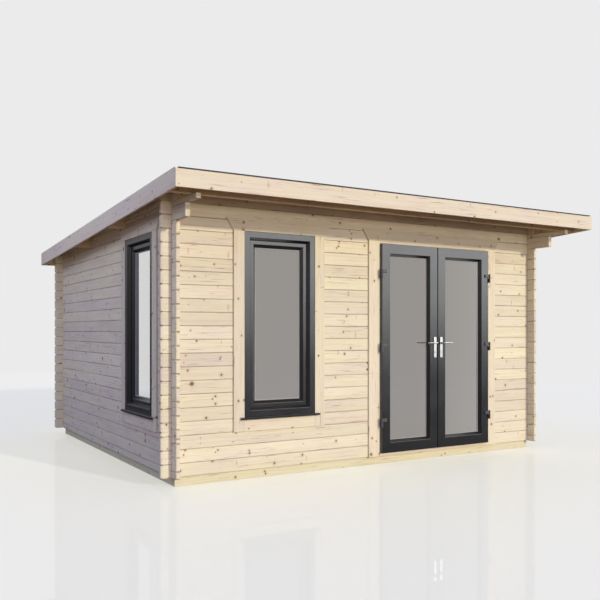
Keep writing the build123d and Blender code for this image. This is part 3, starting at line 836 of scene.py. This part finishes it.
def lever(spindle, way, face, out):
    """One lever: an oval section carried along its path, a neck out of the plate, a bend and a grip.

    The path runs (aside, proud) from the plate: proud 28 mm, round a quarter circle of 13.5 mm, then
    aside. The oval's half sizes fall from 8.5 mm at the neck to 4 mm at the end, which closes with a
    quarter of an ellipse.
    """
    neck, bend, tip = 0.028, 0.0135, 0.122
    turning = np.linspace(0, math.pi / 2, 9)
    grip = np.concatenate([np.linspace(0.020, tip, 12), tip + 0.006 * np.sin(np.linspace(0.2, 1.5, 7))])
    aside = np.concatenate([[0, 0], bend * (1 - np.cos(turning)), grip])
    proud = np.concatenate([[-0.001, 0.012], neck + bend * np.sin(turning), np.full(len(grip), 0.0415)])
    turned_by = np.concatenate([[0, 0], turning, np.full(len(grip), math.pi / 2)])
    closing = np.sqrt(1 - np.clip((aside - tip) / 0.00605, 0, 1) ** 2)
    thick = np.interp(aside, [0, 0.02, tip], [0.0085, 0.0062, 0.0042]) * closing
    tall = np.interp(aside, [0, 0.03, tip], [0.0085, 0.0078, 0.0050]) * closing
    angle = np.linspace(0, 2 * math.pi, 20, endpoint=False)
    shift = thick[:, None] * np.cos(angle)
    across = aside[:, None] - shift * np.cos(turned_by)[:, None]
    out_by = proud[:, None] + shift * np.sin(turned_by)[:, None]
    up = spindle_height + tall[:, None] * np.sin(angle)
    return ringed(np.stack([spindle - way * across, face - out * out_by, up], 2))


steel = brushed("brushed_steel", (0.66, 0.65, 0.62, 1), roughness=0.28)
spindle_height = 1.167
key_height = 1.075
spindle_aside = 0.041
key_narrow = 0.2
barrel = np.array([(0.0085, 0.001), (0.0085, -0.0034), (0.0079, -0.0040), (0.0046, -0.0040),
                   (0.0044, -0.0034)])
keyway = np.array([(0.0040, 0.0), (0.0040, -0.0036)])
plate_low, plate_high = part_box("left_door_handle_plates")
plate_faces = ((plate_low.y, 1), (plate_high.y, -1))
for side, way in (("left", 1), ("right", -1)):
    refinish(f"{side}_door_handle_plates", steel)
    levers = [lever(door_x - way * spindle_aside, way, face, out) for face, out in plate_faces]
    piece_of(f"{side}_levers", levers, steel, [f"{side}_door_levers"], f"{side}_handle")
for side, way in (("left", 1), ("right", -1)):
    key_x = door_x - way * spindle_aside
    cylinders, keyways = [], []
    for face, out in plate_faces:
        cylinders.append(turned(barrel * (1, out), (key_x, face, key_height), axis=1, sides=32))
        points, quads = turned(keyway * (1, out), (key_x, face, key_height), axis=1)
        points[:, 0] = key_x + (points[:, 0] - key_x) * key_narrow
        keyways.append((points, quads))
    piece_of(f"{side}_lock_cylinders", cylinders, steel, (), f"{side}_leaf")
    piece_of(f"{side}_keyways", keyways, gasket_rubber, (), f"{side}_leaf")


# Purlins
# Three planed bars along the building carry the roof: one in front on the corbels, two let into the
# side walls. Their tops are planed to the roof's fall.

# A darker, browner copy of the pine for the purlins and roof boards: painted shade for the parts under
# the roof
shaded_roof_pine = softwood("roof_softwood_painted_shade", (0.73, 0.585, 0.385, 1), (0.58, 0.41, 0.24, 1),
                     (0.95, 0.92, 0.94, 1))
roof_rng = np.random.default_rng(41)
purlin_ease = 0.004
purlin_low, purlin_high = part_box("roof_purlins")
purlins = []
for y in purlin_places:
    foot, back = roof_line(y) - purlin_tall, y + purlin_thick
    purlin = eased_bar("xyz", (purlin_low.x, purlin_high.x), (y, back), (foot, roof_line(back) - hair),
                       purlin_ease, roof_rng)
    points = purlin[0]
    points[:, 2] += slope * (back - points[:, 1]) * (points[:, 2] > foot + purlin_tall / 2)
    purlins.append(purlin)
piece_of_bars("planed_purlins", purlins, shaded_roof_pine, ["roof_purlins"])


# Roof boards
# Tongue-and-groove boards run from the front fascia to the rear one over the purlins, V-joints
# downwards, nailed to each purlin from above.

boards_low, boards_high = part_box("roof_boards")
board_count = 48
board_thick = 0.027
board_ease = 0.003
board_edges = np.linspace(boards_low.x, boards_high.x, board_count + 1)
roof_boards = []
for near, far in zip(board_edges[:-1], board_edges[1:]):
    board = eased_bar("yzx", (boards_low.y, boards_high.y), (fit, board_thick), (near, far), board_ease,
                      roof_rng, cut=neither)
    board[0][:, 2] += roof_line(board[0][:, 1])
    roof_boards.append(board)
piece_of_bars("tongued_roof_boards", roof_boards, shaded_roof_pine, ["roof_boards"])


# Roof felt
# Mineral felt laid in strips across the fall, each lapping the one below it, nailed through the laps.
# Bitumen faced with crushed slate, so it is dark and dull with a fine grain.

felt, felt_tree, felt_shader = new_material("mineral_felt")
felt_place = node(felt_tree, "TexCoord").outputs["Object"]
granules = node(felt_tree, "TexVoronoi", {"Vector": felt_place, "Scale": 420.0})
granule_tone = node(felt_tree, "SeparateColor", {0: granules.outputs["Color"]}).outputs[0]
weather = node(felt_tree, "TexNoise", {"Vector": felt_place, "Scale": 1.4, "Detail": 5.0}).outputs[0]
felt_colour = tint(felt_tree, granule_tone, (0.030, 0.031, 0.034, 1), (0.105, 0.107, 0.112, 1))
faded = spread(felt_tree, weather, 0.35, 0.75, 0.0, 0.35)
felt_colour = tint(felt_tree, faded, felt_colour, (0.12, 0.12, 0.118, 1))
granule_height = granules.outputs["Distance"]
felt_bump = node(felt_tree, "Bump", {"Strength": 0.6, "Distance": 0.0008, "Height": granule_height})
plug(felt_tree, felt_shader, {"Base Color": felt_colour, "Roughness": 0.92,
                              "Normal": felt_bump.outputs[0]})
felt_low, felt_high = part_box("roof_covering")
felt_strip = 0.93
felt_ply = 0.0027
felt_lap, lap_full = 0.075, 0.070
lap_rise, lap_fall = 0.005, 0.003
felt_under, felt_top = 0.0273, 0.0303
strip_edges = np.arange(felt_high.y - felt_strip, felt_low.y, -felt_strip)


def felt_sheet():
    """The felt as one slab on a grid over the roof, its top rising by one ply over each lap.

    A lap is the 75 mm above each strip's lower edge, which falls away over 3 mm. A little slow
    waviness, the sum of two crossed sines, keeps the sheet from being dead flat.
    """
    laps = np.concatenate([[edge - felt_lap, edge - lap_full, edge, edge + lap_fall]
                           for edge in strip_edges])
    y = np.sort(np.concatenate([np.linspace(felt_low.y, felt_high.y, 60), laps]))
    x = np.linspace(felt_low.x, felt_high.x, 60)
    rise = [np.clip((y - edge + felt_lap) / lap_rise, 0, 1) for edge in strip_edges]
    fall = [np.clip((edge + lap_fall - y) / lap_fall, 0, 1) for edge in strip_edges]
    lap = sum(up * down for up, down in zip(rise, fall))
    wave = 0.00015 * (np.sin(x[None, :] * 9.0) + np.sin(y[:, None] * 7.0 + x[None, :] * 2.0) - 2.0)
    top = felt_top + felt_ply * lap[:, None] + wave
    across, back = np.meshgrid(x, y)
    upper = np.stack([across, back, roof_line(back) + top], 2)
    under = np.stack([across, back, roof_line(back) + felt_under], 2)
    rows, columns = top.shape
    index = np.arange(rows * columns).reshape(rows, columns)
    faces = np.stack([index[:-1, :-1], index[:-1, 1:], index[1:, 1:], index[1:, :-1]], 2).reshape(-1, 4)
    rim = np.concatenate([index[0, :], index[1:, -1], index[-1, -2::-1], index[-2:0:-1, 0]])
    following = np.roll(rim, -1)
    shift = rows * columns
    edge_walls = np.stack([rim, rim + shift, following + shift, following], 1)
    return (np.concatenate([upper.reshape(-1, 3), under.reshape(-1, 3)]),
            np.concatenate([faces, faces[:, ::-1] + shift, edge_walls]))


piece_of("mineral_felt_sheet", [felt_sheet()], felt, ["roof_covering"])
clout = [(0.0015, -0.001), (0.0050, 0.0), (0.0050, 0.0007), (0.0035, 0.0012)]
nail_spacing, nail_inset, nail_above_edge = 0.15, 0.05, 0.055
nail_rows = strip_edges - nail_above_edge
nail_columns = np.arange(felt_low.x + nail_inset, felt_high.x, nail_spacing)
clouts = [turned(clout, (x, y, roof_line(y) + felt_top + felt_ply), axis=2, sides=8)
          for y in nail_rows for x in nail_columns]
piece_of("felt_clout_nails", clouts, zinc)


# Fascias and barge boards
# Planed boards close the four edges of the roof, the fascias over the ends of the barge boards.
# The felt is turned down over the top of each fascia as a thin lip.

fascia_rng = np.random.default_rng(47)
fascia_ease = 0.002
felt_ease = 0.0006
set_back = 0.0022
felt_room = 0.0028
sliver = 0.0001
lip_insets = (0.020, 0.045)
lip_drops = (0.0085, 0.0004)
cover_drops = (0.0026, 0.0005)
for name, facing_way in (("front_fascia", 1), ("rear_fascia", -1)):
    low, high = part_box(name)
    if facing_way > 0:
        near, far = low.y + set_back, high.y
        lip = (low.y + sliver, near - sliver)
    else:
        near, far = low.y, high.y - set_back
        lip = (far + sliver, high.y - sliver)
    board = eased_bar("xyz", (low.x, high.x), (near, far), (low.z, high.z - felt_room), fascia_ease,
                      fascia_rng)
    piece_of_bars(f"planed_{name}", [board], trim_pine, [name])
    along = (low.x + lip_insets[0], high.x - lip_insets[1])
    over = (low.y + 2 * sliver, high.y - 2 * sliver)
    felt_edge = []
    for depth, (foot, head) in ((lip, lip_drops), (over, cover_drops)):
        felt_edge.append(eased_bar("xyz", along, depth, (high.z - foot, high.z - head), felt_ease,
                                   fascia_rng))
    piece_of_bars(f"{name}_felt_edge", felt_edge, felt, ())
barge_height = (-0.117, 0.033)
for name in ("left_barge_board", "right_barge_board"):
    low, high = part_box(name)
    board = eased_bar("yxz", (low.y, high.y), (low.x, high.x), barge_height, fascia_ease, fascia_rng,
                      cut=neither)
    board[0][:, 2] += roof_line(board[0][:, 1])
    piece_of_bars(f"planed_{name}", [board], trim_pine, [name])


# Studio floor, light and camera
# A pale, polished floor that runs out into a plain backdrop, under plain daylight: a low sun from the
# front and right, and soft light from the front, the left and the back under an even cool sky.

floor_reach = 500
turn = np.linspace(0, 2 * math.pi, 96, endpoint=False)
floor_disc = bpy.data.meshes.new("studio_floor")
rim = np.stack([floor_reach * np.cos(turn), floor_reach * np.sin(turn), np.zeros(len(turn))], 1)
floor_disc.from_pydata(rim, [], [list(range(len(turn)))])
studio_floor = add_object("studio_floor", floor_disc)
backdrop_tone = (0.831, 0.831, 0.831, 1)
polished, polish, floor_shader = new_material("polished_studio_floor")
polish.nodes.remove(floor_shader)
rays = node(polish, "LightPath").outputs
glimpsed = calc(polish, "MAXIMUM", times(polish, rays["Is Glossy Ray"], 0.05), rays["Is Singular Ray"])
seen = calc(polish, "MAXIMUM", rays["Is Camera Ray"],
            calc(polish, "MAXIMUM", glimpsed, rays["Is Transmission Ray"]))
bounced = tint(polish, rays["Is Glossy Ray"], (0.28, 0.20, 0.14, 1), (0.10, 0.10, 0.10, 1))
matt = node(polish, "BsdfDiffuse", {"Color": tint(polish, seen, bounced, (0.60, 0.60, 0.60, 1))})
own_light = node(polish, "Emission", {"Color": (0.480, 0.468, 0.350, 1), "Strength": seen})
pale = node(polish, "AddShader", {0: matt.outputs[0], 1: own_light.outputs[0]})
mirror = node(polish, "BsdfGlossy", {"Color": (1, 1, 1, 1), "Roughness": 0.0})
near_floor = node(polish, "MixShader", {0: times(polish, seen, 0.085), 1: pale.outputs[0],
                                        2: mirror.outputs[0]}).outputs[0]
far_floor = node(polish, "Emission", {"Color": backdrop_tone, "Strength": 1.0}).outputs[0]
floor_place = node(polish, "TexCoord").outputs["Object"]
from_cabin = node(polish, "VectorMath", {0: floor_place}, operation="LENGTH").outputs["Value"]
run_out = times(polish, seen, spread(polish, from_cabin, 10.0, 17.0))
whole_floor = node(polish, "MixShader", {0: run_out, 1: near_floor, 2: far_floor}).outputs[0]
plug(polish, polish.nodes["Material Output"], {"Surface": whole_floor})
floor_disc.materials.append(polished)

# Blurred reflections see a pale card that stands in front to the right, which lifts the dark profiles
world = bpy.data.worlds.new("studio")
bpy.context.scene.world = world
world.use_nodes = True
sky = world.node_tree
sky_tone = (0.395, 0.44, 0.71, 1)
sky_rays = node(sky, "LightPath").outputs
clear = calc(sky, "MAXIMUM", sky_rays["Is Singular Ray"], sky_rays["Is Transmission Ray"])
shown = calc(sky, "MAXIMUM", sky_rays["Is Camera Ray"], clear)
direction = node(sky, "TexCoord").outputs["Generated"]
height = node(sky, "SeparateXYZ", {0: direction}).outputs[2]
ahead = node(sky, "VectorMath", {0: direction, 1: (0.669, -0.743, 0.0)},
             operation="DOT_PRODUCT").outputs["Value"]
aside = node(sky, "VectorMath", {0: direction, 1: (0.743, 0.669, 0.0)},
             operation="DOT_PRODUCT").outputs["Value"]
off_side = calc(sky, "ABSOLUTE", aside)
card_width = times(sky, spread(sky, off_side, 0.55, 0.38), spread(sky, ahead, 0.0, 0.1))
card_height = times(sky, spread(sky, height, -0.04, 0.035), spread(sky, height, 0.50, 0.40))
blurred_tone = tint(sky, spread(sky, height, 0.02, 0.22), (0.16, 0.16, 0.165, 1), backdrop_tone)
blurred_tone = tint(sky, times(sky, card_width, card_height), blurred_tone, (3.45, 3.48, 3.5, 1))
unseen_tone = tint(sky, sky_rays["Is Glossy Ray"], sky_tone, blurred_tone)
sky_colour = tint(sky, shown, unseen_tone, backdrop_tone)
plug(sky, sky.nodes["Background"], {"Color": sky_colour})

sun = bpy.data.lights.new("low_sun", "SUN")
sun.energy = 1.77
sun.angle = math.radians(2.5)
sun.color = (1.0, 0.90, 0.68)
sun_lamp = add_object("low_sun", sun)
sun_height, sun_from_right = 16.5, 19.2
sun_lamp.rotation_euler = (math.radians(90 - sun_height), 0, math.radians(sun_from_right))
sun_lamp.visible_glossy = False


def soft_lamp(name, size, power, colour, place, turned_by, beam=180):
    """A wide rectangular lamp that lights the cabin but doesn't show in glass, metal or the floor."""
    light = bpy.data.lights.new(name, "AREA")
    light.shape = "RECTANGLE"
    light.size, light.size_y = size
    light.energy = power
    light.color = colour
    light.spread = math.radians(beam)
    lamp = add_object(name, light)
    lamp.location = place
    lamp.rotation_euler = [math.radians(angle) for angle in turned_by]
    lamp.visible_glossy = False
    lamp.visible_transmission = False


soft_lamp("soft_front", size=(25.0, 4.4), power=4830, colour=(1.0, 0.875, 0.68),
          place=(1.8, -42.0, 2.5), turned_by=(90, 0, 0))
soft_lamp("soft_left", size=(4.0, 2.0), power=17, colour=(0.88, 0.88, 1.0),
          place=(-7.6, 0.0, 4.4), turned_by=(74, 0, -90), beam=80)
soft_lamp("soft_back", size=(8.0, 4.4), power=1200, colour=(1.0, 0.90, 0.74),
          place=(1.6, 26.0, 2.6), turned_by=(-90, 0, 0))

camera_data = bpy.data.cameras.new("camera")
camera_data.lens = 43.68
camera_data.sensor_width = 36
camera_data.shift_x = 0.0518
camera_data.shift_y = 0.051
camera = add_object("camera", camera_data)
camera.location = (-4.3770, -7.2000, 1.2901)
camera.rotation_euler = (math.radians(90), 0, math.radians(-29.554))
bpy.context.scene.camera = camera
bpy.context.scene.view_settings.view_transform = "Standard"
